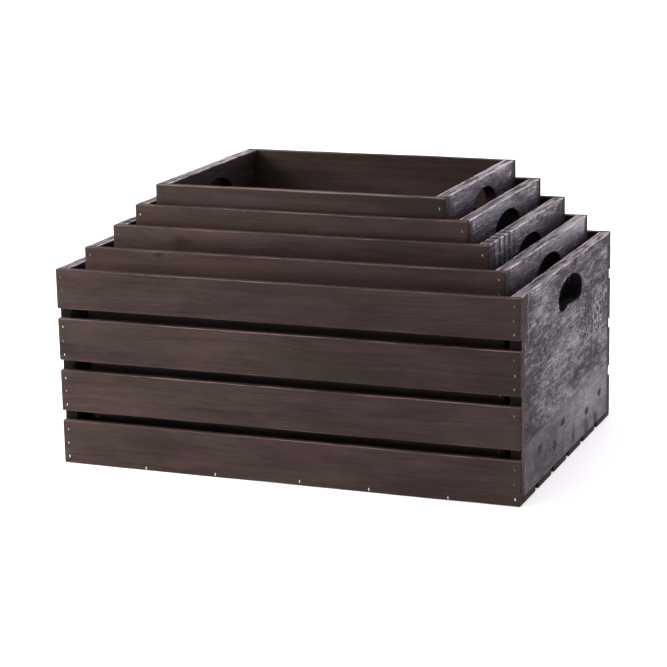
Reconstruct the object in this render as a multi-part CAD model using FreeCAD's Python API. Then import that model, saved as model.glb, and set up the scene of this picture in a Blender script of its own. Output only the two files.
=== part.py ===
import FreeCAD, Part
import os
from math import pi

# Nest of slatted wooden crates, each one standing on the floor of the next larger one.
# X runs along the crates, Y across them and Z up. The origin is the bottom centre of the
# largest crate. Lengths are in millimetres.

# Outside of the crates, largest first
crate_count = 5
largest_length = 508.0
length_step = 47.0
widths = (353.0, 314.0, 283.0, 263.0, 246.0)
largest_height = 212.0
rim_step = 21.2
# Where each crate has settled inside the next larger one, along X and Y
centres = ((0.0, 0.0), (2.0, 0.0), (3.0, 4.0), (1.5, 4.0), (-1.0, 3.5))

# Boards
end_thickness = 12.0
slat_thickness = 7.0
floor_thickness = 7.0
eased_edge = 0.6
slat_gap = 10.7
slat_shares = (0.263, 0.247, 0.254, 0.236)
floor_board_pitch = 58.0
floor_board_gap = 9.9

# Hand slots: flat below with rounded corners, half an ellipse above. Each crate's are cut by
# hand, so their width, depth below the rim and shift towards the back differ a little.
slot_height = 33.0
slot_corner = 14.0
slot_widths = (91.0, 91.0, 90.0, 88.0, 80.0)
slot_depths = (14.5, 13.0, 15.5, 12.5, 11.5)
slot_shifts = (8.0, 1.0, 3.0, 5.0, 8.0)
left_slot_deeper = 4.5

# Brads: a flat head, long across the grain, on a thin shank
brad_head_along = 1.3
brad_head_across = 3.0
brad_head_depth = 1.0
brad_shank = 1.2
brad_length = 22.0
brad_proud = 0.2
slat_brad_rows = (0.15, 0.47, 0.8)
edge_brad_places = (-0.31, -0.15, 0.035, 0.185, 0.35)
floor_brad_rows = (-0.3, 0.3)

# Directions in which a brad is driven, from its head to its point
into_front = (0, 1, 0)
into_back = (0, -1, 0)
upwards = (0, 0, 1)


def box(x, y, z):
    """A box between two values on each axis."""
    corner = FreeCAD.Vector(x[0], y[0], z[0])
    return Part.makeBox(x[1] - x[0], y[1] - y[0], z[1] - z[0], corner)


def board(x, y, z):
    """A board along X with its four long edges eased."""
    solid = box(x, y, z)
    long_edges = [e for e in solid.Edges if abs(e.tangentAt(e.FirstParameter).x) > 0.99]
    return solid.makeChamfer(eased_edge, long_edges)


def crate_size(index):
    """Outside of one crate as spans on X, Y and Z."""
    length = largest_length - index * length_step
    width = widths[index]
    centre_x, centre_y = centres[index]
    bottom = index * floor_thickness
    rim = largest_height + index * rim_step
    x = (centre_x - length / 2, centre_x + length / 2)
    y = (centre_y - width / 2, centre_y + width / 2)
    return x, y, (bottom, rim)


def inside_slats(y):
    """The span across the crate between its two rows of side slats."""
    return y[0] + slat_thickness, y[1] - slat_thickness


def slot_cutter(index, x, y, top):
    """The solid that one crate's hand slot takes out of an end panel, from top down."""
    half = slot_widths[index] / 2
    centre_y = (y[0] + y[1]) / 2 + slot_shifts[index]
    bottom = top - slot_height
    rise = slot_height - slot_corner
    flat = half - slot_corner
    shoulder = bottom + slot_corner
    lean = slot_corner * (1 - 0.5 ** 0.5)

    def at(across, up):
        return FreeCAD.Vector(x[0], centre_y + across, up)

    ellipse = Part.Ellipse(at(half, shoulder), at(0, shoulder + rise), at(0, shoulder))
    crown = Part.ArcOfEllipse(ellipse, 0, pi).toShape()
    left = Part.Arc(at(-half, shoulder), at(lean - half, bottom + lean), at(-flat, bottom)).toShape()
    base = Part.LineSegment(at(-flat, bottom), at(flat, bottom)).toShape()
    right = Part.Arc(at(flat, bottom), at(half - lean, bottom + lean), at(half, shoulder)).toShape()
    outline = Part.Face(Part.Wire(Part.__sortEdges__([crown, left, base, right])))
    return outline.extrude(FreeCAD.Vector(x[1] - x[0], 0, 0))


def end_panel(index, x, y, z, deeper=0.0):
    """A solid end, standing on the floor boards between the side slats."""
    panel = box(x, inside_slats(y), (z[0] + floor_thickness, z[1]))
    slot_top = z[1] - slot_depths[index] - deeper
    return panel.cut(slot_cutter(index, (x[0] - 1, x[1] + 1), y, slot_top))


def slat_spans(z):
    """Bottom and top of each side slat, lowest first."""
    wood = z[1] - z[0] - slat_gap * (len(slat_shares) - 1)
    spans = []
    low = z[0]
    for share in slat_shares:
        high = low + wood * share
        spans.append((low, high))
        low = high + slat_gap
    return spans


def floor_board_spans(y):
    """Front and back of each floor board, front one first."""
    low, high = inside_slats(y)
    count = round((high - low) / floor_board_pitch)
    width = (high - low - floor_board_gap * (count - 1)) / count
    starts = [low + i * (width + floor_board_gap) for i in range(count)]
    return [(start, start + width) for start in starts]


def brad(point, direction, proud):
    """A brad driven along direction, with its head standing proud of the wood at point."""
    along = FreeCAD.Vector(*direction)
    start = FreeCAD.Vector(*point) - along * proud
    # the head is drawn lying in the XY plane, long along Y, and driven down +Z
    head = Part.makeBox(brad_head_along, brad_head_across, brad_head_depth,
                        FreeCAD.Vector(-brad_head_along / 2, -brad_head_across / 2, 0))
    shank = Part.makeBox(brad_shank, brad_shank, brad_length,
                         FreeCAD.Vector(-brad_shank / 2, -brad_shank / 2, 0))
    solid = head.fuse(shank).removeSplitter()
    turn = FreeCAD.Rotation(FreeCAD.Vector(0, 0, 1), along)
    solid.Placement = FreeCAD.Placement(start, turn)
    return solid


def brads(x, y, z):
    """All the brads of one crate."""
    found = []
    panel_middles = (x[0] + end_thickness / 2, x[1] - end_thickness / 2)
    faces = ((y[0], into_front), (y[1], into_back))
    for low, high in slat_spans(z):
        for row in slat_brad_rows:
            height = low + (high - low) * row
            for middle in panel_middles:
                for face, direction in faces:
                    found.append(brad((middle, face, height), direction, brad_proud))
    for place in edge_brad_places:
        along = (x[0] + x[1]) / 2 + place * (x[1] - x[0])
        for face, direction in faces:
            found.append(brad((along, face, z[0] + floor_thickness / 2), direction, brad_proud))
    for low, high in floor_board_spans(y):
        for row in floor_brad_rows:
            across = (low + high) / 2 + row * (high - low)
            for middle in panel_middles:
                found.append(brad((middle, across, z[0]), upwards, 0))
    return Part.makeCompound(found)


def crate(index):
    """Every sub-part of one crate, by name."""
    x, y, z = crate_size(index)
    parts = {
        "left_end": end_panel(index, (x[0], x[0] + end_thickness), y, z, left_slot_deeper),
        "right_end": end_panel(index, (x[1] - end_thickness, x[1]), y, z),
        "floor_boards": Part.makeCompound([
            board(x, span, (z[0], z[0] + floor_thickness)) for span in floor_board_spans(y)]),
        "brads": brads(x, y, z),
    }
    for number, span in enumerate(slat_spans(z), start=1):
        parts[f"front_slat_{number}"] = board(x, (y[0], y[0] + slat_thickness), span)
        parts[f"back_slat_{number}"] = board(x, (y[1] - slat_thickness, y[1]), span)
    return parts


os.makedirs("parts", exist_ok=True)
for index in range(crate_count):
    for name, shape in crate(index).items():
        shape.exportStep(f"parts/crate_{index + 1}_{name}.step")
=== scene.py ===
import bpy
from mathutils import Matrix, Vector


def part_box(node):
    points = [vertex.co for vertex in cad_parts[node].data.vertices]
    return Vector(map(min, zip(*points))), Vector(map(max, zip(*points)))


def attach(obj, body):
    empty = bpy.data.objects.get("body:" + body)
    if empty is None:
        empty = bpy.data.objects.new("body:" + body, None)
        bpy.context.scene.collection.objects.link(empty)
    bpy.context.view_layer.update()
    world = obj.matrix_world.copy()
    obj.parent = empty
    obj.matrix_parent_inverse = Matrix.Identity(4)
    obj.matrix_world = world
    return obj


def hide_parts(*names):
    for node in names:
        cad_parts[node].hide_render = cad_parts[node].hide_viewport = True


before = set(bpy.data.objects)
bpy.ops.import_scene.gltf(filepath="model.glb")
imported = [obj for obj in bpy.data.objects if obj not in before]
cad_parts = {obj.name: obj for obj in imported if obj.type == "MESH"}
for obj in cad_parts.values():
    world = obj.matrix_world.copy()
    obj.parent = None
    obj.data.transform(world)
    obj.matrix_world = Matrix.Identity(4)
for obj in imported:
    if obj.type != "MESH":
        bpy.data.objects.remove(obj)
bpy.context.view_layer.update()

import zlib
from math import cos, pi, radians, sin

import bpy
import numpy as np
from mathutils import Matrix, Vector

MM = 0.001
CRATES = ["crate_1", "crate_2", "crate_3", "crate_4", "crate_5"]
SLATS_PER_SIDE = 4
RIDGED_CRATE = "crate_3"
TORN_END = "crate_1_right_end"

# Floor boards lie side by side at about this pitch, with this gap between them
FLOOR_PITCH = 58.0 * MM
FLOOR_GAP = 9.9 * MM

# Hand slots, as they are cut in the end panels: widths, depths below the rim and shifts
# towards the back, largest crate first
SLOT_HEIGHT = 33.0 * MM
SLOT_CORNER = 14.0 * MM
SLOT_WIDTHS = [91.0 * MM, 91.0 * MM, 90.0 * MM, 88.0 * MM, 80.0 * MM]
SLOT_DEPTHS = [14.5 * MM, 13.0 * MM, 15.5 * MM, 12.5 * MM, 11.5 * MM]
SLOT_SHIFTS = [8.0 * MM, 1.0 * MM, 3.0 * MM, 5.0 * MM, 8.0 * MM]
LEFT_SLOT_DEEPER = 4.5 * MM

# How far a torn lip stands up from the lower edge of a slot: along it from the middle, height
TORN_LIP = ([-27.0 * MM, -23.0 * MM, -13.0 * MM, 34.0 * MM, 40.0 * MM],
            [0.0, -0.6 * MM, 3.4 * MM, 0.6 * MM, 0.0])

# Boards: how far their ends are eased, the spacing of their sections, how far a worn edge
# wanders, how much narrower the finished board is, and how far it bows and twists
END_EASING = 0.8 * MM
SECTION_STEP = 5.0 * MM
EDGE_WANDER = 0.3 * MM
EDGE_SHRINK = 0.1 * MM
BOW = 0.08 * MM
TWIST = 0.1 * MM
ROUGH_END = 0.25 * MM
DEEPEST_CHIP = 0.9 * MM
SHARPEST_ARRIS = 0.3 * MM

# End panels: the spacing of points round the rim, the wandering of the slot's edge and of
# the rim's top, the warp, and where the rings of points lie between slot and rim
RIM_STEP = 4.0 * MM
SLOT_WANDER = 0.5 * MM
RIM_DIP = 0.35 * MM
WARP = 0.3 * MM
FACE_RINGS = [0.006, 0.05, 0.12, 0.2, 0.3, 0.4, 0.5, 0.6, 0.7, 0.8, 0.88, 0.95, 0.985, 0.995]
INSIDE_VARNISH = 0.08

# Brad heads: their size, how far they stand proud, and the same for a brad sunk in the floor
HEAD_LONG = 2.7 * MM
HEAD_SHORT = 1.05 * MM
PLATE_SIDES = 14
SUNK_PROUD = 0.02 * MM
EDGE_HEAD_FULLER = 1.25
EDGE_BRAD_BAND = 9.0 * MM
# Brads in the right-hand half of a crate are stained at least this much
LEAST_STAIN = 0.35

# Where brushed varnish lies thicker or thinner on an end panel, which also sets where a lighter lilac
# sheen is painted into its colour, from the middle of its lower
# edge, in millimetres: along, up, reach along, reach up, amount
VARNISH_AND_SHEEN = {
    "crate_1_right_end": [
        (-60, 188, 50, 20, -0.2), (-110, 203, 45, 8, 0.5), (85, 38, 70, 16, 0.2),
        (22, 13, 5, 9, -0.8), (75, 5, 8, 7, -0.8), (113, 5, 8, 7, -0.8),
        (30, 25, 90, 26, 0.3), (-160, 195, 15, 30, -1.2), (-173, 90, 5, 110, -0.5),
        (-110, 145, 45, 22, -0.5), (-140, 85, 30, 30, -0.4), (60, 78, 110, 12, -0.4),
        (-70, 20, 70, 20, -0.25), (110, 185, 50, 20, -0.2), (130, 120, 30, 40, 0.2)],
    "crate_2_right_end": [
        (75, 216, 60, 40, 1.9), (-60, 220, 60, 30, 0.25), (-152, 120, 7, 130, -0.6)],
    "crate_3_right_end": [
        (-60, 240, 80, 40, 0.75), (90, 240, 60, 40, 0.15), (-137, 120, 6, 130, -0.5)],
    "crate_4_right_end": [
        (-60, 255, 80, 40, 0.95), (90, 255, 60, 40, 0.3), (-127, 120, 6, 140, -0.6)],
    "crate_5_right_end": [
        (-70, 265, 60, 40, 0.4), (80, 260, 60, 60, 0.15), (-118, 120, 6, 150, -0.6)],
}
# Old dents on the torn end, from the middle of its lower edge, in millimetres: along, up
DENTS = [(-107, 34), (-52, 22), (-20, 38), (75, 24.5), (130, 31.5)]
# A patch of short dark strokes on the same end: along, up, reach along, reach up
STROKES = (95, 128, 54, 18)

# The glued joint across every end: its height, and how much it climbs towards the back
JOINT_HEIGHT = 55.5 * MM
JOINT_SLOPE = 0.02

# How much lighter or darker than the rest some slats are painted; on the front of crate 1 this is painted
# light, graded from slat 4 to the brighter slat 1
STAIN_AND_SHADING = {
    "crate_1_front_slat_1": 1.24, "crate_1_front_slat_2": 1.16, "crate_1_front_slat_3": 1.0,
    "crate_1_front_slat_4": 0.95, "crate_2_front_slat_4": 1.35, "crate_3_front_slat_4": 1.12,
    "crate_4_front_slat_4": 1.08, "crate_5_front_slat_4": 0.82, "crate_5_back_slat_4": 1.25,
}
# How much darker each board is painted towards its right-hand end: painted shade, as if the light fell
# from the left
SHADING_TO_RIGHT = 0.09
# How much more some slats are rubbed along their upper edge, where a painted highlight lies too
RUB_AND_HIGHLIGHT = {
    "crate_5_front_slat_4": 2.6, "crate_4_front_slat_4": 1.3, "crate_1_front_slat_3": 1.4,
    "crate_1_front_slat_2": 1.4, "crate_1_front_slat_1": 1.3,
}
# Knots, from the middle of the slat, in millimetres: along it, up it, size
KNOTS = {
    "crate_3_front_slat_4": (-128, 10, 1.0),
    "crate_2_front_slat_4": (-145, 19, 0.45),
}
NO_KNOT = (9000, 9000, 1.0)


# ---------------------------------------------------------------- shapes

def random_for(name):
    """Random numbers that are the same for a name on each run."""
    return np.random.default_rng(zlib.crc32(name.encode()))


class Wander:
    """A smooth random line: a sum of sines with values from about -1 to 1."""

    def __init__(self, random, longest, octaves):
        steps = np.arange(octaves)
        self.waves = 2 * pi / (longest * 0.5 ** steps * random.uniform(0.8, 1.2, octaves))
        self.phases = random.uniform(0, 2 * pi, octaves)
        self.weights = 0.62 ** steps

    def __call__(self, place):
        angle = np.asarray(place)[..., None] * self.waves + self.phases
        return (np.sin(angle) * self.weights).sum(-1) / self.weights.sum()


class Chips:
    """Small bites out of one edge, as extra rounding along it."""

    def __init__(self, random, start, end, count, deepest):
        self.places = random.uniform(start, end, count)
        self.lengths = random.uniform(2.0, 7.0, count) * MM
        self.depths = random.uniform(0.3, 1.0, count) ** 2 * deepest

    def __call__(self, place):
        away = np.abs(np.asarray(place)[..., None] - self.places) / self.lengths
        return (np.clip(1 - away ** 2, 0, 1) * self.depths).sum(-1)

    def stations(self):
        """Places along the edge that the bites need points at."""
        steps = np.linspace(-1, 1, 7)
        return (self.places[:, None] + self.lengths[:, None] * steps).ravel()


class Placement:
    """Maps a part's own coordinates to the shared frame: u along it, v across it and w out of
    its good face."""

    def __init__(self, centre, along, across, outward):
        self.axes = np.array([along, across, outward], float)
        self.centre = np.array(centre)

    def __call__(self, points):
        return np.asarray(points) @ self.axes + self.centre

    def facing_out(self, faces):
        """The same faces, turned over where the placement is a mirror image."""
        mirrored = np.linalg.det(self.axes) < 0
        return [face[::-1] for face in faces] if mirrored else faces


def middle_of(low, high):
    """The middle of a box."""
    return (low + high) / 2


def vectors(values):
    """A vector at each point, for make_piece."""
    return "FLOAT_VECTOR", "POINT", values


def numbers(values):
    """A number at each point, for make_piece."""
    return "FLOAT", "POINT", values


def make_piece(name, points, faces, material, body, nodes, values):
    """A mesh object that rides on a body and stands for CAD nodes.

    values holds what materials read: a name, then the type, domain and numbers."""
    mesh = bpy.data.meshes.new(name)
    mesh.from_pydata(points.tolist(), [], faces)
    mesh.polygons.foreach_set("use_smooth", [True] * len(mesh.polygons))
    for key, (kind, domain, data) in values.items():
        layer = mesh.attributes.new(key, kind, domain)
        field = "vector" if kind == "FLOAT_VECTOR" else "value"
        layer.data.foreach_set(field, np.asarray(data, np.float32).ravel())
    mesh.materials.append(material)
    mesh.update()
    piece = bpy.data.objects.new(name, mesh)
    bpy.context.scene.collection.objects.link(piece)
    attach(piece, body)
    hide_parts(*nodes)
    return piece


# ---------------------------------------------------------------- boards

def board_section(width, thickness, radius):
    """Points round a board's section at each station, with how far each is on an arris.

    radius holds four arris radii for each station. The result is (v, w, arris share)."""
    arc = np.linspace(0, pi / 2, 5)
    long_side = np.array([0.014, 0.1, 0.3, 0.5, 0.7, 0.9, 0.986])
    short_side = np.array([0.1, 0.5, 0.9])
    corners = [(1, 1, 0), (-1, 1, pi / 2), (-1, -1, pi), (1, -1, 3 * pi / 2)]
    # Upper arrises get more of the pale rubbed colour, partly a painted highlight from above
    upper_wear_and_highlight, lower_wear_and_highlight = 1.0, 0.3
    v, w, share = [], [], []
    for number, (side_v, side_w, turn) in enumerate(corners):
        r = radius[:, number][:, None]
        v.append(side_v * (width / 2 - r) + r * np.cos(arc + turn))
        w.append(side_w * (thickness / 2 - r) + r * np.sin(arc + turn))
        share.append(np.full_like(v[-1], upper_wear_and_highlight if side_v > 0 else lower_wear_and_highlight))
        steps = long_side if number % 2 == 0 else short_side
        following = (number + 1) % 4
        next_r = radius[:, following][:, None]
        next_side_v, next_side_w, next_turn = corners[following]
        next_v = next_side_v * (width / 2 - next_r) + next_r * cos(next_turn)
        next_w = next_side_w * (thickness / 2 - next_r) + next_r * sin(next_turn)
        v.append(v[-1][:, -1:] + (next_v - v[-1][:, -1:]) * steps)
        w.append(w[-1][:, -1:] + (next_w - w[-1][:, -1:]) * steps)
        share.append(np.zeros_like(v[-1]))
    return np.hstack(v), np.hstack(w), np.hstack(share)


def tube_faces(rings, around):
    """Quads between rings of points, and a flat face on each end, which come last."""
    faces = []
    for ring in range(rings - 1):
        base = ring * around
        for i in range(around):
            j = (i + 1) % around
            faces.append((base + j, base + around + j, base + around + i, base + i))
    first = tuple(range(around))[::-1]
    last = tuple((rings - 1) * around + i for i in range(around))
    return faces + [first, last]


def eased_stations(half, chips):
    """Places along a board, close together at its ends and chips, and its inset at each."""
    even = np.linspace(-half, half, int(2 * half / SECTION_STEP) + 1)[1:-1]
    stations = np.concatenate([even] + [chip.stations() for chip in chips])
    stations = np.unique(stations[np.abs(stations) < half - 1.6 * END_EASING].round(4))
    arc = np.linspace(0, pi / 2, 4)
    start = -half + END_EASING * (1 - np.cos(arc))
    inset = END_EASING * (1 - np.sin(arc))
    along = np.concatenate([start, stations, -start[::-1]])
    return along, np.concatenate([inset, np.zeros(len(stations)), inset[::-1]])


def arris_radii(random, along, chips, rounding, thickness):
    """The four worn and chipped arris radii at each place along a board."""
    wears = [Wander(random, 120 * MM, 4) for _ in range(4)]
    base = rounding * random.uniform(0.5, 0.75, 4) * MM
    worn = [base[i] * (1 + 0.35 * wears[i](along)) + chips[i](along) for i in range(4)]
    return np.clip(np.stack(worn, 1), SHARPEST_ARRIS, 0.4 * thickness)


def weathered(random, along, v, w, length, width):
    """The section's points after the board's edges wander and the board bows and twists."""
    upper, lower = (Wander(random, 260 * MM, 4) for _ in range(2))
    bow, twist = (Wander(random, length * 1.3, 2) for _ in range(2))
    level = v / width
    edge = np.where(level > 0, upper(along)[:, None], lower(along)[:, None])
    v = v + edge * EDGE_WANDER * (2 * np.abs(level)) ** 3 * -np.sign(level) - EDGE_SHRINK * level
    lift = bow(along) * BOW
    w = w + lift[:, None] + (twist(along)[:, None] + random.uniform(-1, 1)) * TWIST * level
    return v, w


def rough_cut(random, along, v, w, half):
    """The places along the board of all its points, with rough-cut ends."""
    u = np.repeat(along[:, None], v.shape[1], 1)
    ragged = Wander(random, 9 * MM, 3)
    tips = (np.abs(u) > half - END_EASING * 0.5)
    return u + tips * np.sign(u) * -ROUGH_END * (1 + ragged(v + 3 * w))


def board(name, size, place, material, body, node, rounding=1.0):
    """A sawn board: eased, worn and chipped arrises, a slight bow and rough-cut ends."""
    random = random_for(name)
    length, width, thickness = size
    half = length / 2
    chips = [Chips(random, -half, half, random.integers(1, 4), DEEPEST_CHIP) for _ in range(4)]
    along, inset = eased_stations(half, chips)
    radius = arris_radii(random, along, chips, rounding, thickness)
    v, w, share = board_section(width, thickness, radius)
    v *= (1 - inset / (width / 2))[:, None]
    w *= (1 - inset / (thickness / 2))[:, None]
    v, w = weathered(random, along, v, w, length, width)
    u = rough_cut(random, along, v, w, half)

    points = np.stack([u, v, w], -1).reshape(-1, 3)
    faces = place.facing_out(tube_faces(len(along), v.shape[1]))
    ends = np.zeros(len(faces))
    ends[-2:] = 1
    grain = points + random.uniform(-20, 20, 3)
    knot_along, knot_up, knot_size = KNOTS.get(node, NO_KNOT)
    from_knot = points * [1, 1, 0] - [knot_along * MM, knot_up * MM, 0]
    # Some of these per-slat values are painted light, not stain
    stain = STAIN_AND_SHADING.get(node, random.uniform(0.92, 1.08))
    return make_piece(name, place(points), faces, material, body, [node], {
        "grain": vectors(grain),
        "knot": vectors(from_knot / knot_size),
        "wear_and_highlight": numbers(share.ravel() * RUB_AND_HIGHLIGHT.get(node, 1.0)),
        "end_grain": ("FLOAT", "FACE", ends),
        "tone_and_shading": numbers(stain * (1 - SHADING_TO_RIGHT * points[:, 0] / half)),
    })


# ---------------------------------------------------------------- end panels

def slot_reach(width, outset, angles):
    """How far the hand slot's outline is from its middle in each direction."""
    half, corner = width / 2 + outset, SLOT_CORNER + outset
    rise = SLOT_HEIGHT - SLOT_CORNER + outset
    shoulder = SLOT_CORNER - SLOT_HEIGHT / 2
    foot = half - corner
    crown = np.linspace(0, pi, 241)
    quarter = np.linspace(0, pi / 2, 81)
    base_x = np.linspace(-foot, foot, 81)[1:-1]
    top = np.stack([half * np.cos(crown), shoulder + rise * np.sin(crown)], 1)
    left = np.stack([-foot - corner * np.cos(quarter), shoulder - corner * np.sin(quarter)], 1)
    base = np.stack([base_x, np.full(len(base_x), shoulder - corner)], 1)
    right = np.stack([foot + corner * np.sin(quarter), shoulder - corner * np.cos(quarter)], 1)
    outline = np.concatenate([top, left[1:], base, right])
    turn = np.unwrap(np.arctan2(outline[:, 1], outline[:, 0]))
    reach = np.hypot(outline[:, 0], outline[:, 1])
    order = np.argsort(turn)
    wanted = (angles - turn.min()) % (2 * pi) + turn.min()
    return np.interp(wanted, turn[order], reach[order], period=2 * pi)


def slot_edge(width, angles, torn):
    """The slot's reach in each direction, and how much it grows for each metre of outset."""
    reach = slot_reach(width, 0, angles)
    growth = (slot_reach(width, 1 * MM, angles) - reach) / MM
    lip = np.interp(reach * np.cos(angles), *TORN_LIP) * torn
    lower_side = np.sin(angles) < -0.3
    return reach * (1 - np.where(lower_side, lip / (SLOT_HEIGHT / 2), 0)), growth


def rim_points(length, width):
    """Points round the edge of an end, anticlockwise from its lower front corner."""
    half_u, half_v = length / 2, width / 2
    across = np.linspace(-half_u, half_u, int(length / RIM_STEP) + 1)[:-1]
    up = np.linspace(-half_v, half_v, int(width / RIM_STEP) + 1)[:-1]
    return np.concatenate([
        np.stack([across, np.full(len(across), -half_v)], 1),
        np.stack([np.full(len(up), half_u), up], 1),
        np.stack([-across, np.full(len(across), half_v)], 1),
        np.stack([np.full(len(up), -half_u), -up], 1)])


def patch(spots, along, up, reach_along, reach_up, power):
    """A soft patch on an end panel: 1 in its middle, 0 far from it."""
    return np.exp(-((spots[:, 0] - along) / reach_along) ** power
                  - ((spots[:, 1] - up) / reach_up) ** power)


def end_panel(name, size, slot_facts, place, material, body, node):
    """A solid end with a hand slot: a closed skin drawn as profiles round the slot."""
    random = random_for(name)
    torn = float(node == TORN_END)
    length, width, thickness = size
    half_u, half_v, half_w = length / 2, width / 2, thickness / 2
    slot_width, depth, shift = slot_facts
    middle = np.array([shift, half_v - depth - SLOT_HEIGHT / 2])
    rim = rim_points(length, width)
    count = len(rim)
    angles = np.arctan2(rim[:, 1] - middle[1], rim[:, 0] - middle[0])
    direction = np.stack([np.cos(angles), np.sin(angles)], 1)
    reach, growth = slot_edge(slot_width, angles, torn)
    walk = np.arange(count) * RIM_STEP

    def arris(base, longest, deepest, bites):
        chips = Chips(random, 0, walk[-1], bites, deepest)
        rough = 1 + 0.5 * Wander(random, longest, 5)(walk)
        return np.clip(base * rough + chips(walk), SHARPEST_ARRIS, 0.38 * thickness)

    rim_arrises = [arris(0.75 * MM, 60 * MM, 1.1 * MM, 7) for _ in range(2)]
    slot_arrises = [arris(0.6 * MM, 25 * MM, 1.2 * MM, 9) for _ in range(2)]
    wander = Wander(random, 40 * MM, 5)(walk) * SLOT_WANDER
    dip = Wander(random, 220 * MM, 5)(walk) * RIM_DIP * (rim[:, 1] > half_v - 1 * MM)

    def at_slot(outset):
        return middle + direction * (reach + wander + growth * outset)[:, None]

    def at_rim(inset):
        limit = np.stack([half_u - inset, half_v - inset], 1)
        point = np.clip(rim, -limit, limit)
        point[:, 1] -= np.abs(dip)
        return point

    # Each ring: its points, height, wear with painted highlight, share inside the slot (painted shade) and
    # varnish
    rings = []
    arc = np.linspace(0, pi / 2, 5)
    wall = np.linspace(-1, 1, 5)[1:-1]
    for side, slot_r, rim_r in zip((1, -1), slot_arrises, rim_arrises):
        slot_arc = [(at_slot(slot_r * (1 - cos(a))), side * (half_w - slot_r * (1 - sin(a))))
                    for a in arc]
        rim_arc = [(at_rim(rim_r * (1 - sin(a))), side * (half_w - rim_r * (1 - cos(a))))
                   for a in arc]
        near, far = slot_arc[-1][0], rim_arc[0][0]
        film = 1.0 if side > 0 else INSIDE_VARNISH
        run = ([(p, h, 0.5, max(1 - i / 3, 0.0), film) for i, (p, h) in enumerate(slot_arc)]
               + [(near + (far - near) * t, side * half_w, 0.0, 0.0, film) for t in FACE_RINGS]
               + [(p, h, 1.0, 0.0, film * (1 - i / 4)) for i, (p, h) in enumerate(rim_arc)])
        rings += run if side > 0 else run[::-1]
        wall_reach = half_w - max(rim_r.max(), slot_r.max())
        for level in wall * wall_reach:
            if side > 0:
                rings.append((at_rim(np.zeros(count)), -level, 0.0, 0.0, 0.0))
            else:
                rings.append((at_slot(np.zeros(count)), level, 0.0, 1.0, 0.0))

    def column(which):
        return np.stack([np.broadcast_to(ring[which], count) for ring in rings], 1)

    flat = np.stack([ring[0] for ring in rings], 1)
    height = column(1) + Wander(random, 500 * MM, 2)(flat[..., 0]) * WARP
    points = np.concatenate([flat, height[..., None]], -1).reshape(-1, 3)
    around = len(rings)
    faces = []
    for start in range(count):
        following = (start + 1) % count
        for i in range(around):
            j = (i + 1) % around
            faces.append((start * around + i, start * around + j,
                          following * around + j, following * around + i))

    spots = (points[:, :2] + [0, half_v]) / MM
    varnish_and_sheen = np.full(len(points), 0.5)
    for *where, amount in VARNISH_AND_SHEEN.get(node, []):
        varnish_and_sheen += amount * patch(spots, *where, 2)
    return make_piece(name, place(points), place.facing_out(faces), material, body, [node], {
        "grain": vectors(points + random.uniform(-20, 20, 3)),
        "place": vectors(points + [0, half_v, 0]),
        "from_edge": numbers(half_u - np.abs(points[:, 0])),
        "wear_and_highlight": numbers(column(2).ravel()),
        "in_slot": numbers(column(3).ravel()),
        "covered": numbers(column(4).ravel()),
        "varnish_and_sheen": numbers(varnish_and_sheen),
        "on_rim": numbers(points[:, 1] > half_v - 1.5 * MM),
        "marked": numbers(np.full(len(points), torn)),
        "strokes": numbers(patch(spots, *STROKES, 4) * torn),
    })


# ---------------------------------------------------------------- brads

def islands(node):
    """The lowest and highest corner of each separate solid in a CAD node."""
    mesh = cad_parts[node].data
    spots = np.zeros(len(mesh.vertices) * 3)
    mesh.vertices.foreach_get("co", spots)
    spots = spots.reshape(-1, 3)
    keys = {}
    same = [keys.setdefault(tuple(p), i) for i, p in enumerate(spots.round(6))]
    parent = list(range(len(spots)))

    def root(i):
        while parent[i] != i:
            parent[i] = parent[parent[i]]
            i = parent[i]
        return i

    for face in mesh.polygons:
        first = root(same[face.vertices[0]])
        for other in face.vertices[1:]:
            parent[root(same[other])] = first
    groups = {}
    for i in range(len(spots)):
        groups.setdefault(root(same[i]), []).append(i)
    return [(spots[g].min(0), spots[g].max(0)) for g in groups.values()]


def plate(centre, short_way, long_way, outward, half_long, half_short, edges):
    """A small domed plate: rings from its rim to its middle, as points and faces.

    edges holds each ring's share of the full size and its height."""
    def squared(value):
        return np.sign(value) * np.abs(value) ** 0.7

    turn = np.linspace(0, 2 * pi, PLATE_SIDES, endpoint=False)
    ring = np.stack([squared(np.cos(turn)) * half_short, squared(np.sin(turn)) * half_long], 1)
    points = [centre + ring[:, :1] * size * short_way + ring[:, 1:] * size * long_way + height * outward
              for size, height in edges]
    faces = []
    for level in range(len(edges) - 1):
        base = level * PLATE_SIDES
        for i in range(PLATE_SIDES):
            j = (i + 1) % PLATE_SIDES
            faces.append((base + i, base + j, base + PLATE_SIDES + j, base + PLATE_SIDES + i))
    last = (len(edges) - 1) * PLATE_SIDES
    faces.append(tuple(last + i for i in range(PLATE_SIDES)))
    faces.append(tuple(range(PLATE_SIDES))[::-1])
    return np.concatenate(points), faces


def join_plates(plates):
    """All the plates' points and faces as one mesh."""
    faces, start = [], 0
    for spots, quads in plates:
        faces += [tuple(start + i for i in face) for face in quads]
        start += len(spots)
    return np.concatenate([spots for spots, _ in plates]), faces


def brad_seat(low, high, middle_y):
    """Where a brad's head lies: its middle, the way out of the wood and its long way."""
    centre = middle_of(low, high)
    lies_along_y = (high - low)[1] > (high - low)[2]
    if not lies_along_y:
        return np.array([centre[0], centre[1], low[2]]), np.array([0, 0, -1.0]), np.array([0, 1.0, 0])
    side = -1 if centre[1] < middle_y else 1
    face = low[1] + 0.2 * MM if side < 0 else high[1] - 0.2 * MM
    return np.array([centre[0], face, centre[2]]), np.array([0, side, 0.0]), np.array([0, 0, 1.0])


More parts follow.
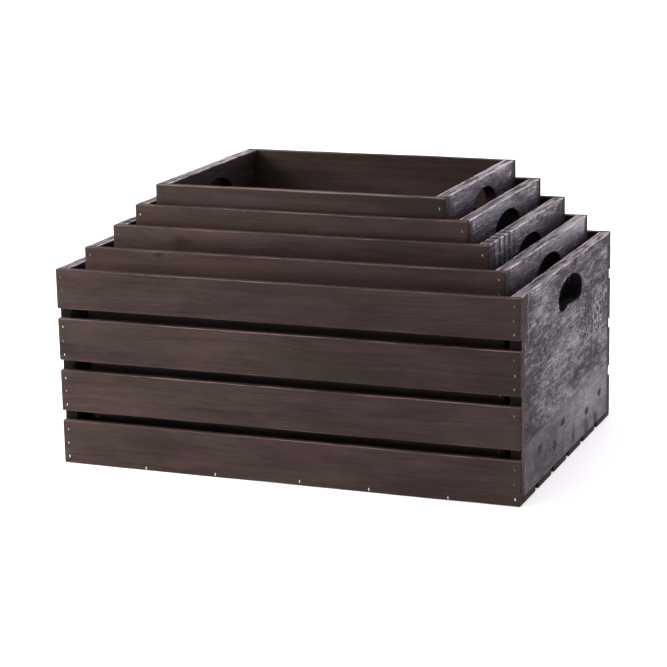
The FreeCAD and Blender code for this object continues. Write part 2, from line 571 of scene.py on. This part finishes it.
def brad_heads(crate, materials):
    """The heads of a crate's brads, each in the wood that it has bruised."""
    random = random_for(crate + "_brads")
    node = crate + "_brads"
    box_low, box_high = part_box(node)
    middle_y = (box_low.y + box_high.y) / 2
    along = np.array([1.0, 0, 0])
    heads, bruises, stained = [], [], []
    for low, high in islands(node):
        spot, outward, across = brad_seat(low, high, middle_y)
        lean = random.normal(0, 0.12)
        long_way = across * cos(lean) + along * sin(lean)
        short_way = np.cross(long_way, outward)
        spot = spot + along * random.normal(0, 0.35) * MM + across * random.normal(0, 0.5) * MM
        proud = random.uniform(0.14, 0.3) * MM
        if outward[2] < 0:
            proud = SUNK_PROUD
        along_edge = high[2] < box_low.z + EDGE_BRAD_BAND
        fuller = EDGE_HEAD_FULLER if along_edge else 1.0
        heads.append(plate(
            spot, short_way, long_way, outward, fuller * HEAD_LONG / 2, fuller * HEAD_SHORT / 2,
            [(1.0, -0.6 * MM), (1.0, proud - 0.12 * MM), (0.93, proud - 0.03 * MM),
             (0.75, proud), (0.35, proud + 0.02 * MM)]))
        cleanest = 0.0 if middle_of(low, high)[0] < 0 else LEAST_STAIN
        stain = 0.0 if along_edge else random.uniform(cleanest, 1.0)
        stained.append(np.full(len(heads[-1][0]), stain))
        bruises.append(plate(
            spot, short_way, long_way, outward,
            HEAD_LONG * random.uniform(0.62, 0.8), HEAD_SHORT * random.uniform(0.8, 1.3),
            [(1.0, -0.4 * MM), (0.97, 0.02 * MM), (0.8, 0.05 * MM), (0.6, 0.02 * MM), (0.45, -0.1 * MM)]))
    points, faces = join_plates(heads)
    make_piece(f"{crate}_brad_heads", points, faces, materials["heads"], crate, [node],
               {"grain": vectors(points), "stained": numbers(np.concatenate(stained))})
    points, faces = join_plates(bruises)
    make_piece(f"{crate}_brad_bruises", points, faces, materials["bruises"], crate, [node],
               {"grain": vectors(points)})


# ---------------------------------------------------------------- materials

def rgb(red, green, blue):
    """A colour in linear light, fully opaque."""
    return (red, green, blue, 1.0)


# Slats and floor boards
KNOT_DARK = rgb(0.012, 0.007, 0.006)
BLACK_FLECK = rgb(0.008, 0.006, 0.006)
# Pale rubbed wood, with a painted highlight along the upper arrises
RUBBED_WOOD_AND_HIGHLIGHT = rgb(0.17, 0.128, 0.105)
CUT_DARK = rgb(0.014, 0.009, 0.008)
CUT_LIGHT = rgb(0.040, 0.028, 0.025)
DULL_PATCH = rgb(0.8, 0.8, 0.8)
BRIGHT_PATCH = rgb(1.2, 1.18, 1.17)

# End panels: wood under varnish
DRY_VARNISH = rgb(0.033, 0.0190, 0.0240)
# Warm and cold lilac: a painted sheen where the varnish is thick
WARM_PAINTED_SHEEN = rgb(0.074, 0.044, 0.064)
COLD_PAINTED_SHEEN = rgb(0.047, 0.049, 0.082)
GRAIN_BAND = rgb(0.040, 0.024, 0.024)
# The lower board's lilac grey, a painted sheen
LOWER_BOARD_SHEEN = rgb(0.060, 0.052, 0.060)
PORE = rgb(0.005, 0.004, 0.005)
DENT = rgb(0.020, 0.016, 0.019)
STROKE = rgb(0.012, 0.009, 0.010)
# Pale scuffs with a painted lilac highlight
SCUFF_HIGHLIGHT = rgb(0.25, 0.22, 0.265)
VARNISH_BORDER = rgb(0.16, 0.14, 0.15)
CREASE = rgb(0.25, 0.21, 0.21)
SEAM = rgb(0.010, 0.008, 0.008)

# End panels: wood that the varnish doesn't cover
RAW_DARK = rgb(0.023, 0.0130, 0.0105)
RAW_LIGHT = rgb(0.046, 0.028, 0.022)
PALE_WOOD = rgb(0.088, 0.055, 0.050)
# Painted sheen on the top of the rim
TOP_RIM_SHEEN = rgb(0.36, 0.31, 0.345)
# Worn arris wood, lightened with a painted highlight
WORN_ARRIS_HIGHLIGHT = rgb(0.52, 0.47, 0.50)
# Painted shade on the upright edges between the slats
SIDE_EDGE_SHADE = rgb(0.010, 0.0075, 0.0065)
# Painted shade inside the hand slot
SLOT_WALL_SHADE = rgb(0.008, 0.007, 0.006)


class Shader:
    """One material's nodes, with short calls to add them."""

    def __init__(self, name):
        self.material = bpy.data.materials.new(name)
        self.material.use_nodes = True
        self.tree = self.material.node_tree
        self.skin = self.tree.nodes["Principled BSDF"]

    def put(self, socket, value):
        """Link a socket to another, or set its own value."""
        if isinstance(value, bpy.types.NodeSocket):
            self.tree.links.new(value, socket)
        else:
            socket.default_value = value

    def node(self, kind, inputs, **settings):
        """A new node with its inputs and settings."""
        made = self.tree.nodes.new(kind)
        for key, value in settings.items():
            setattr(made, key, value)
        for key, value in inputs.items():
            self.put(made.inputs[key], value)
        return made

    def vector(self, name):
        """A vector that the mesh holds at each point."""
        return self.node("ShaderNodeAttribute", {}, attribute_name=name).outputs["Vector"]

    def number(self, name):
        """A number that the mesh holds at each point."""
        return self.node("ShaderNodeAttribute", {}, attribute_name=name).outputs["Fac"]

    def stretch(self, vector, scale, turn=0.0):
        """Coordinates scaled along, across and outwards, and turned in the face's plane."""
        return self.node("ShaderNodeMapping", {
            "Vector": vector, "Scale": scale, "Rotation": (0, 0, turn)}).outputs["Vector"]

    def noise(self, vector, scale, detail=3.0, roughness=0.55, distortion=0.0, turn=0.0):
        """Noise from 0 to 1, with its own scale in each direction, in features per metre."""
        return self.node("ShaderNodeTexNoise", {
            "Vector": self.stretch(vector, scale, turn), "Scale": 1.0, "Detail": detail,
            "Roughness": roughness, "Distortion": distortion}).outputs["Fac"]

    def math(self, operation, first, second=0.0):
        """One step of arithmetic."""
        made = self.node("ShaderNodeMath", {0: first, 1: second}, operation=operation)
        return made.outputs[0]

    def plus(self, first, second):
        """The sum."""
        return self.math("ADD", first, second)

    def minus(self, first, second):
        """The difference."""
        return self.math("SUBTRACT", first, second)

    def times(self, first, second):
        """The product."""
        return self.math("MULTIPLY", first, second)

    def most(self, first, second):
        """The larger of two values."""
        return self.math("MAXIMUM", first, second)

    def rest_of(self, share):
        """What a share leaves of 1."""
        return self.math("SUBTRACT", 1.0, share)

    def size_of(self, value):
        """The value without its sign."""
        return self.math("ABSOLUTE", value)

    def moved(self, vector, **by):
        """Coordinates moved by an amount along X or Y."""
        offset = self.node("ShaderNodeCombineXYZ", by).outputs[0]
        return self.node("ShaderNodeVectorMath", {0: vector, 1: offset}, operation="ADD").outputs["Vector"]

    def length(self, vector):
        """The length of a vector."""
        return self.node("ShaderNodeVectorMath", {0: vector}, operation="LENGTH").outputs["Value"]

    def span(self, value, low, high, to_low=0.0, to_high=1.0):
        """The value eased from one range to another, and held at its ends."""
        return self.node("ShaderNodeMapRange", {
            "Value": value, "From Min": low, "From Max": high, "To Min": to_low, "To Max": to_high},
            interpolation_type="SMOOTHSTEP").outputs["Result"]

    def mix(self, share, first, second, blend="MIX"):
        """Two colours mixed. Sockets 6 and 7 are the colour ones, and output 2 is theirs."""
        made = self.node("ShaderNodeMix", {"Factor": share}, data_type="RGBA", blend_type=blend)
        self.put(made.inputs[6], first)
        self.put(made.inputs[7], second)
        return made.outputs[2]

    def bump(self, height, strength, distance, under=None):
        """A bumpy normal, over another one where that is given."""
        made = self.node("ShaderNodeBump", {
            "Height": height, "Strength": strength, "Distance": distance})
        if under is not None:
            self.put(made.inputs["Normal"], under)
        return made.outputs["Normal"]

    def finish(self, colour, roughness, normal, **uniform):
        """The material, with the rest of its values set on the shader itself."""
        self.put(self.skin.inputs["Base Color"], colour)
        self.put(self.skin.inputs["Roughness"], roughness)
        if normal is not None:
            self.put(self.skin.inputs["Normal"], normal)
        for key, value in uniform.items():
            self.put(self.skin.inputs[key.replace("_", " ")], value)
        return self.material


def slat_wood(name, dark, light, red, green, coat):
    """Thin sawn board, stained dark brown: long grain, fine fibres, saw marks and knots."""
    s = Shader(name)
    grain, knot = s.vector("grain"), s.vector("knot")
    cut = s.number("end_grain")

    # The grain sways and bends round a knot
    to_knot = s.length(s.stretch(knot, (0.55, 1.0, 1.0)))
    sway = s.noise(grain, (5.0, 18.0, 18.0), 2.0)
    pull = s.span(to_knot, 0.0, 0.03, 0.012, 0.0)
    shifted = s.moved(grain, Y=s.plus(s.times(sway, 0.016), pull))
    bands = s.noise(shifted, (3.0, 260.0, 90.0), 4.0, 0.65)
    streaks = s.noise(shifted, (9.0, 900.0, 300.0), 3.0, 0.6)
    fibres = s.noise(grain, (60.0, 2600.0, 1400.0), 2.0, 0.5)
    ticks = s.noise(shifted, (55.0, 560.0, 300.0), 4.0, 0.7)
    patches = s.noise(grain, (6.0, 22.0, 22.0), 3.0, 0.6)
    hue = s.noise(grain, (5.0, 26.0, 12.0), 3.0, 0.55)
    saw = s.noise(grain, (520.0, 9.0, 9.0), 2.0, 0.6)

    # Stain: dark and light grain, redder and greener places, and dull and bright patches, then each
    # board's tone with its painted light and shade
    depth = s.plus(s.times(bands, 0.28), s.times(streaks, 0.27))
    depth = s.plus(depth, s.plus(s.times(ticks, 0.33), s.times(fibres, 0.12)))
    colour = s.mix(s.span(depth, 0.33, 0.67), dark, light)
    colour = s.mix(s.span(hue, 0.50, 0.66, 0.0, 0.7), colour, red)
    colour = s.mix(s.span(hue, 0.48, 0.34, 0.0, 0.7), colour, green)
    patched = s.mix(s.span(patches, 0.3, 0.7), DULL_PATCH, BRIGHT_PATCH)
    colour = s.mix(1.0, colour, patched, "MULTIPLY")
    # The board's tone holds painted light and shade as well as its own stain
    colour = s.mix(1.0, colour, s.number("tone_and_shading"), "MULTIPLY")

    # A knot's dark rings
    uneven = s.times(s.noise(knot, (60.0, 160.0, 1.0), 3.0), 0.012)
    wobble = s.minus(s.plus(to_knot, uneven), 0.004)
    ring = s.math("SINE", s.times(wobble, 1700.0))
    around = s.times(s.span(wobble, 0.001, 0.014, 1.0, 0.0), s.span(ring, -1.0, 1.0, 0.75, 0.85))
    colour = s.mix(around, colour, KNOT_DARK)

    # Flecks, rubbed arrises with a painted highlight, mostly on the upper ones, and cut ends
    flecks = s.noise(grain, (90.0, 1100.0, 600.0), 2.0, 0.5)
    colour = s.mix(s.span(flecks, 0.66, 0.76, 0.0, 0.6), colour, BLACK_FLECK)
    rubbing = s.noise(grain, (12.0, 160.0, 160.0), 5.0, 0.7)
    worn = s.times(s.number("wear_and_highlight"), s.span(rubbing, 0.40, 0.66, 0.08, 0.75))
    colour = s.mix(worn, colour, RUBBED_WOOD_AND_HIGHLIGHT)
    rings = s.noise(shifted, (3.0, 420.0, 700.0), 3.0, 0.6)
    colour = s.mix(cut, colour, s.mix(s.span(rings, 0.35, 0.65), CUT_DARK, CUT_LIGHT))

    normal = s.bump(s.plus(s.times(bands, 0.5), s.times(streaks, 0.5)), 0.5, 0.0005)
    normal = s.bump(s.plus(fibres, s.times(saw, 0.5)), 0.35, 0.00025, normal)
    film = s.times(s.span(patches, 0.35, 0.7, 0.02, coat), s.rest_of(cut))
    return s.finish(colour, s.span(streaks, 0.3, 0.7, 0.62, 0.85), normal,
                    Specular_IOR_Level=0.1, Coat_Weight=film, Coat_Roughness=0.4, Coat_Normal=normal)


def dent_at(s, place, blotches, marked, along, up):
    """How dented a place on the torn end is, round one old dent."""
    centre = (along * MM, up * MM, 0)
    away = s.node("ShaderNodeVectorMath", {0: place, 1: centre}, operation="SUBTRACT")
    away = s.length(s.stretch(away.outputs["Vector"], (0.6, 1.1, 0.0)))
    away = s.plus(away, s.times(blotches, 0.006))
    return s.times(s.span(away, 0.0045, 0.0095, 1.0, 0.0), marked)


def panel_wood(name, ridges=False):
    """End panel: stained wood under uneven brushed varnish, with a painted lilac sheen where it is thick,
    scuffed, with open pores; painted highlights and sheen on the rim and painted shade on the upright
    edges and in the slot.
    """
    s = Shader(name)
    grain, place = s.vector("grain"), s.vector("place")
    spot = s.node("ShaderNodeSeparateXYZ", {0: place})
    across, up = spot.outputs["X"], spot.outputs["Y"]
    varnish_and_sheen, covered = s.number("varnish_and_sheen"), s.number("covered")
    marked, strokes = s.number("marked"), s.number("strokes")
    on_rim, from_edge = s.number("on_rim"), s.number("from_edge")
    slot_wall = s.number("in_slot")

    # Two boards are glued together, so the grain is different below the joint
    join = s.plus(s.times(across, JOINT_SLOPE), JOINT_HEIGHT)
    below = s.minus(join, up)
    lower = s.span(below, -0.0006, 0.0006)
    moved = s.moved(grain, X=s.times(lower, 3.1), Y=s.times(lower, 1.7))
    sway = s.noise(moved, (6.0, 16.0, 16.0), 2.0)
    shifted = s.moved(moved, Y=s.times(sway, 0.03))
    bands = s.noise(shifted, (2.5, 150.0, 60.0), 4.0, 0.6)
    streaks = s.noise(shifted, (30.0, 480.0, 200.0), 4.0, 0.65)
    blotches = s.noise(moved, (55.0, 150.0, 120.0), 4.0, 0.68, 0.6)
    clouds = s.noise(moved, (10.0, 22.0, 20.0), 3.0, 0.6)
    fibres = s.noise(grain, (130.0, 2400.0, 1400.0), 2.0, 0.5)
    pores = s.noise(shifted, (120.0, 430.0, 300.0), 2.0, 0.5)

    # Varnish: thick and thin places, painted as a lighter warm or cold lilac sheen where thick, grain
    # bands and open pores
    mottle = s.plus(s.times(blotches, 0.38), s.times(streaks, 0.34))
    mottle = s.plus(mottle, s.times(clouds, 0.28))
    uneven = s.times(s.minus(mottle, 0.5), s.span(lower, 0.0, 1.0, 6.0, 2.6))
    gloss_and_sheen = s.plus(varnish_and_sheen, uneven)
    tints = s.noise(moved, (30.0, 60.0, 40.0), 4.0, 0.7)
    lilac_sheen = s.mix(s.span(tints, 0.42, 0.58), WARM_PAINTED_SHEEN, COLD_PAINTED_SHEEN)
    colour = s.mix(s.span(gloss_and_sheen, -0.1, 1.1), DRY_VARNISH, lilac_sheen)
    colour = s.mix(s.span(bands, 0.5, 0.72, 0.0, 0.4), colour, GRAIN_BAND)
    # A painted lilac sheen over the lower board
    colour = s.mix(s.times(lower, 0.35), colour, LOWER_BOARD_SHEEN)
    colour = s.mix(s.span(pores, 0.62, 0.70, 0.0, 0.9), colour, PORE)

    # Old dents and short strokes, which have lost their varnish
    for along, rise in DENTS:
        dent = dent_at(s, place, blotches, marked, along, rise)
        colour = s.mix(dent, colour, DENT)
        gloss_and_sheen = s.minus(gloss_and_sheen, dent)
    nicks = s.noise(place, (250.0, 120.0, 1.0), 0.0, 0.5, turn=radians(8))
    nick = s.times(s.span(nicks, 0.53, 0.60, 0.0, 0.95), strokes)
    colour = s.mix(nick, colour, STROKE)
    gloss_and_sheen = s.minus(gloss_and_sheen, s.times(nick, 2.0))

    # Scuffs in two directions, and steeper ones among the strokes, painted as pale lilac highlights where
    # the varnish is glossy
    scuffs = s.most(s.noise(grain, (30.0, 560.0, 10.0), 3.0, 0.6, turn=radians(-9)),
                    s.noise(grain, (26.0, 500.0, 10.0), 3.0, 0.6, turn=radians(7)))
    steep = s.noise(grain, (260.0, 70.0, 10.0), 1.0, 0.5, turn=radians(14))
    scuffs = s.most(scuffs, s.times(steep, s.span(strokes, 0.0, 1.0, 0.9, 1.05)))
    thick = s.span(s.minus(varnish_and_sheen, s.times(lower, 0.3)), 0.45, 0.75, 0.2, 1.0)
    few = s.times(s.span(gloss_and_sheen, 0.2, 0.9, 0.1, 1.0), thick)
    scuff_highlight = s.times(s.span(scuffs, 0.60, 0.68, 0.0, 1.0), few)
    colour = s.mix(scuff_highlight, colour, SCUFF_HIGHLIGHT)

    # Bare wood along the upright edges and round the rim, with a paler place on the torn end
    ragged = s.noise(grain, (20.0, 60.0, 10.0), 3.0)
    edge = s.plus(from_edge, s.times(s.minus(ragged, 0.5), -0.012))
    bare = s.span(edge, 0.006, 0.012, 0.9, 0.0)
    bare = s.most(bare, s.span(covered, 0.1, 0.35, 0.85, 0.0))
    raw = s.mix(s.span(streaks, 0.4, 0.6), RAW_DARK, RAW_LIGHT)
    level = s.times(s.span(up, 0.025, 0.05), s.span(up, 0.115, 0.09))
    pale = s.times(s.span(across, -0.12, -0.16), s.times(level, marked))
    raw = s.mix(s.times(pale, 0.75), raw, PALE_WOOD)
    colour = s.mix(bare, colour, raw)

    # The top of the rim: a painted sheen, brighter towards the back
    on_top = s.times(on_rim, s.span(covered, 0.0, 0.3, 1.0, 0.0))
    bright = s.noise(grain, (22.0, 160.0, 260.0), 5.0, 0.7)
    towards_back = s.span(across, -0.10, 0.14, 0.45, 1.0)
    rim_sheen = s.times(s.times(on_top, towards_back), s.span(bright, 0.40, 0.56, 0.0, 1.0))
    colour = s.mix(rim_sheen, colour, TOP_RIM_SHEEN)

    # The varnish's pale border, a crease on the torn end, and the joint's dark line
    border = s.span(s.size_of(s.minus(edge, 0.0125)), 0.0002, 0.0012, 0.5, 0.0)
    border = s.times(border, s.span(streaks, 0.45, 0.65, 0.1, 0.8))
    colour = s.mix(border, colour, VARNISH_BORDER)
    waver = s.plus(across, s.times(ragged, 0.012))
    crease = s.times(s.span(s.size_of(s.plus(waver, 0.143)), 0.0005, 0.0022, 0.6, 0.0),
                     s.times(s.span(up, 0.148, 0.156), marked))
    colour = s.mix(crease, colour, CREASE)
    seam = s.span(s.size_of(below), 0.0001, 0.0006, 0.45, 0.0)
    colour = s.mix(seam, colour, SEAM)

    # Worn arrises with a painted highlight, mostly along the rim, then painted shade on the dark upright
    # edges and the slot's wall
    patchy = s.span(s.noise(grain, (40.0, 200.0, 200.0), 6.0, 0.75), 0.38, 0.58)
    sharp = s.math("POWER", s.number("wear_and_highlight"), 2.6)
    worn = s.times(sharp, s.times(patchy, s.span(on_rim, 0.0, 1.0, 0.25, 1.0)))
    colour = s.mix(worn, colour, WORN_ARRIS_HIGHLIGHT)
    # Painted shade on the upright edges, where they sit in the gaps between slats
    side_edge_shade = s.times(s.span(from_edge, 0.0004, 0.0001), s.rest_of(on_rim))
    colour = s.mix(side_edge_shade, colour, SIDE_EDGE_SHADE)
    # Painted shade on the wall inside the hand slot
    colour = s.mix(slot_wall, colour, SLOT_WALL_SHADE)
    open_face = s.times(s.rest_of(bare), s.rest_of(slot_wall))
    open_face = s.times(open_face, covered)

    relief = s.plus(s.times(blotches, 0.55), s.times(streaks, 0.45))
    normal = s.bump(relief, 1.0, 0.0013)
    if ridges:
        # Raised grain near the front, fading towards the foot
        wave = s.node("ShaderNodeTexWave", {
            "Vector": s.stretch(place, (1.0, 0.08, 1.0)), "Scale": 18.0, "Distortion": 3.4,
            "Detail": 3.0, "Detail Scale": 1.6}).outputs["Fac"]
        near = s.times(s.span(across, -0.068, -0.036, 1.0, 0.0), s.span(up, 0.11, 0.20, 0.1, 1.0))
        hollow = s.span(wave, 0.5, 0.2)
        colour = s.mix(s.times(hollow, s.times(near, 0.8)), colour, BLACK_FLECK)
        gloss_and_sheen = s.minus(gloss_and_sheen, s.times(hollow, s.times(near, 0.7)))
        normal = s.bump(s.times(wave, near), 0.6, 0.0016, normal)
    normal = s.bump(s.plus(fibres, s.times(scuffs, 0.4)), 0.4, 0.0004, normal)
    film = s.times(s.span(gloss_and_sheen, 0.0, 1.4, 0.0, 0.85), open_face)
    film = s.most(film, s.times(scuff_highlight, open_face))
    return s.finish(colour, s.span(streaks, 0.3, 0.7, 0.6, 0.8), normal,
                    Specular_IOR_Level=0.1, Coat_Weight=film, Coat_Roughness=0.27, Coat_Normal=normal)


def brad_steel():
    """Bright brad heads, a little scratched and dulled."""
    s = Shader("brad_steel")
    dull = s.noise(s.vector("grain"), (900.0, 900.0, 900.0), 3.0, 0.6)
    colour = s.mix(s.span(dull, 0.35, 0.65), rgb(0.45, 0.42, 0.40), rgb(0.80, 0.78, 0.76))
    colour = s.mix(s.number("stained"), colour, rgb(0.05, 0.037, 0.033))
    normal = s.bump(dull, 0.3, 0.0001)
    return s.finish(colour, s.span(dull, 0.3, 0.7, 0.3, 0.5), normal, Metallic=0.85)


def bruised_wood():
    """Crushed dark wood round a brad head."""
    s = Shader("bruised_wood")
    fibres = s.noise(s.vector("grain"), (300.0, 900.0, 2000.0), 3.0, 0.6)
    colour = s.mix(s.span(fibres, 0.35, 0.65), rgb(0.012, 0.008, 0.007), rgb(0.035, 0.024, 0.021))
    return s.finish(colour, 0.75, s.bump(fibres, 0.5, 0.0002), Specular_IOR_Level=0.2)


def floor_paper():
    """Plain pale floor."""
    s = Shader("studio_floor")
    return s.finish(rgb(0.87, 0.85, 0.88), 0.9, None, Specular_IOR_Level=0.1,
                    Emission_Color=rgb(1.0, 0.99, 1.0), Emission_Strength=0.4)


# ---------------------------------------------------------------- crates

def build_slats(crate, materials):
    """The side slats, with their good faces outwards."""
    for side, outward in (("front", -1), ("back", 1)):
        for number in range(1, SLATS_PER_SIDE + 1):
            node = f"{crate}_{side}_slat_{number}"
            low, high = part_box(node)
            size = high - low
            place = Placement(middle_of(low, high), (1, 0, 0), (0, 0, 1), (0, outward, 0))
            board(f"{node}_board", (size.x, size.z, size.y), place, materials["slat"], crate,
                  node)


def build_floor(crate, materials):
    """The floor boards, one piece each."""
    node = f"{crate}_floor_boards"
    low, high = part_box(node)
    size = high - low
    count = round(size.y / FLOOR_PITCH)
    width = (size.y - FLOOR_GAP * (count - 1)) / count
    for number in range(count):
        front = low.y + number * (width + FLOOR_GAP)
        centre = ((low.x + high.x) / 2, front + width / 2, (low.z + high.z) / 2)
        place = Placement(centre, (1, 0, 0), (0, 1, 0), (0, 0, 1))
        board(f"{crate}_floor_board_{number + 1}", (size.x, width, size.z), place,
              materials["floor"], crate, node, rounding=0.7)


def build_ends(index, crate, materials):
    """The two end panels, with their good faces outwards."""
    for side, outward, deeper in (("left", -1, LEFT_SLOT_DEEPER), ("right", 1, 0)):
        facts = (SLOT_WIDTHS[index], SLOT_DEPTHS[index] + deeper, SLOT_SHIFTS[index])
        node = f"{crate}_{side}_end"
        low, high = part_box(node)
        size = high - low
        place = Placement(middle_of(low, high), (0, 1, 0), (0, 0, 1), (outward, 0, 0))
        material = materials["ridged" if crate == RIDGED_CRATE else "panel"]
        end_panel(f"{node}_panel", (size.y, size.z, size.x), facts, place, material, crate, node)


materials = {
    "slat": slat_wood(
        "stained_slat", dark=rgb(0.022, 0.0135, 0.0115), light=rgb(0.050, 0.0335, 0.0300),
        red=rgb(0.052, 0.0290, 0.0300), green=rgb(0.036, 0.0280, 0.0200), coat=0.12),
    "floor": slat_wood(
        "stained_floor", dark=rgb(0.019, 0.0115, 0.0095), light=rgb(0.041, 0.0265, 0.0235),
        red=rgb(0.044, 0.023, 0.0205), green=rgb(0.027, 0.0225, 0.017), coat=0.08),
    "panel": panel_wood("varnished_end"),
    "ridged": panel_wood("ridged_end", ridges=True),
    "heads": brad_steel(),
    "bruises": bruised_wood(),
}
for index, crate in enumerate(CRATES):
    build_slats(crate, materials)
    build_floor(crate, materials)
    build_ends(index, crate, materials)
    brad_heads(crate, materials)


# ---------------------------------------------------------------- studio

# Where the camera stands, seen from its target: round to the right of the front, up, and its
# own tilt, in degrees, then its distance in metres. Its sensor and lens are in millimetres.
AZIMUTH = 21.53
ELEVATION = 13.71
ROLL = -1.19
DISTANCE = 2.4414
TARGET = (-0.0194, 0.0217, 0.1119)
SENSOR = 36.0
LENS = 119.3

# Soft panels of light: name, place, aim, size, power, colour
PANELS = [
    ("front_left_panel", (-0.82, -0.50, 0.61), (-0.15, -0.1, 0.12), (0.5, 0.5), 10.4,
     (1.0, 0.94, 0.90)),
    ("back_panel", (0.7, 2.6, 0.8), (0.0, 0.0, 0.15), (3.0, 1.0), 18.0, (0.93, 0.84, 1.0)),
    ("back_right_panel", (2.2, 1.9, 0.9), (0.25, 0.0, 0.1), (1.8, 1.2), 7.0, (0.94, 0.82, 1.0)),
]
CEILING_POWER = 3.3
CEILING_SPREAD = 100
CEILING_AIM = (0.3, -0.25, -1.0)

# How far the floor reaches, and how far it lies below the crates so that they don't touch
FLOOR_REACH = 40.0
FLOOR_DROP = 0.4 * MM


def show(name, data):
    """A new object in the scene."""
    made = bpy.data.objects.new(name, data)
    bpy.context.scene.collection.objects.link(made)
    return made


def facing(direction):
    """The turn that points a camera or a light along a direction."""
    return direction.to_track_quat("-Z", "Y")


def add_camera():
    """Long lens, a little above the rim, from the front right."""
    azimuth, elevation = radians(AZIMUTH), radians(ELEVATION)
    data = bpy.data.cameras.new("camera")
    data.sensor_width = SENSOR
    data.lens = LENS
    data.clip_start = 0.1
    data.clip_end = 100.0
    camera = show("camera", data)
    back = Vector((sin(azimuth) * cos(elevation), -cos(azimuth) * cos(elevation), sin(elevation)))
    stand = Matrix.Translation(Vector(TARGET) + back * DISTANCE)
    level = facing(-back).to_matrix().to_4x4()
    camera.matrix_world = stand @ level @ Matrix.Rotation(radians(ROLL), 4, "Z")
    bpy.context.scene.camera = camera


def add_panel(name, place, aim, size, power, colour):
    """A large soft panel of light, which the camera doesn't see."""
    data = bpy.data.lights.new(name, "AREA")
    data.shape = "RECTANGLE"
    data.size, data.size_y = size
    data.energy = power
    data.color = colour
    light = show(name, data)
    light.location = place
    light.rotation_euler = facing(Vector(aim) - Vector(place)).to_euler()
    light.visible_camera = False


def add_ceiling_light():
    """Even light from a wide ceiling, a little to the left and behind."""
    data = bpy.data.lights.new("ceiling", "SUN")
    data.energy = CEILING_POWER
    data.angle = radians(CEILING_SPREAD)
    show("ceiling", data).rotation_euler = facing(Vector(CEILING_AIM)).to_euler()


def add_floor():
    """A plain pale floor, far larger than the view."""
    corners = [(-1, -1), (1, -1), (1, 1), (-1, 1)]
    mesh = bpy.data.meshes.new("floor")
    mesh.from_pydata([(x * FLOOR_REACH, y * FLOOR_REACH, 0) for x, y in corners], [], [(0, 1, 2, 3)])
    mesh.materials.append(floor_paper())
    floor = show("floor", mesh)
    floor.location.z = -FLOOR_DROP


def add_world():
    """A dim room in front of a white background."""
    world = bpy.data.worlds.new("room")
    world.use_nodes = True
    tree = world.node_tree
    room = tree.nodes["Background"]
    room.inputs["Color"].default_value = rgb(0.97, 0.94, 1.0)
    room.inputs["Strength"].default_value = 0.22
    backdrop = tree.nodes.new("ShaderNodeBackground")
    backdrop.inputs["Color"].default_value = rgb(1.0, 1.0, 1.0)
    seen = tree.nodes.new("ShaderNodeLightPath")
    join = tree.nodes.new("ShaderNodeMixShader")
    tree.links.new(seen.outputs["Is Camera Ray"], join.inputs[0])
    tree.links.new(room.outputs[0], join.inputs[1])
    tree.links.new(backdrop.outputs[0], join.inputs[2])
    tree.links.new(join.outputs[0], tree.nodes["World Output"].inputs["Surface"])
    bpy.context.scene.world = world


add_camera()
add_floor()
add_world()
add_ceiling_light()
for panel in PANELS:
    add_panel(*panel)
bpy.context.scene.view_settings.view_transform = "Standard"
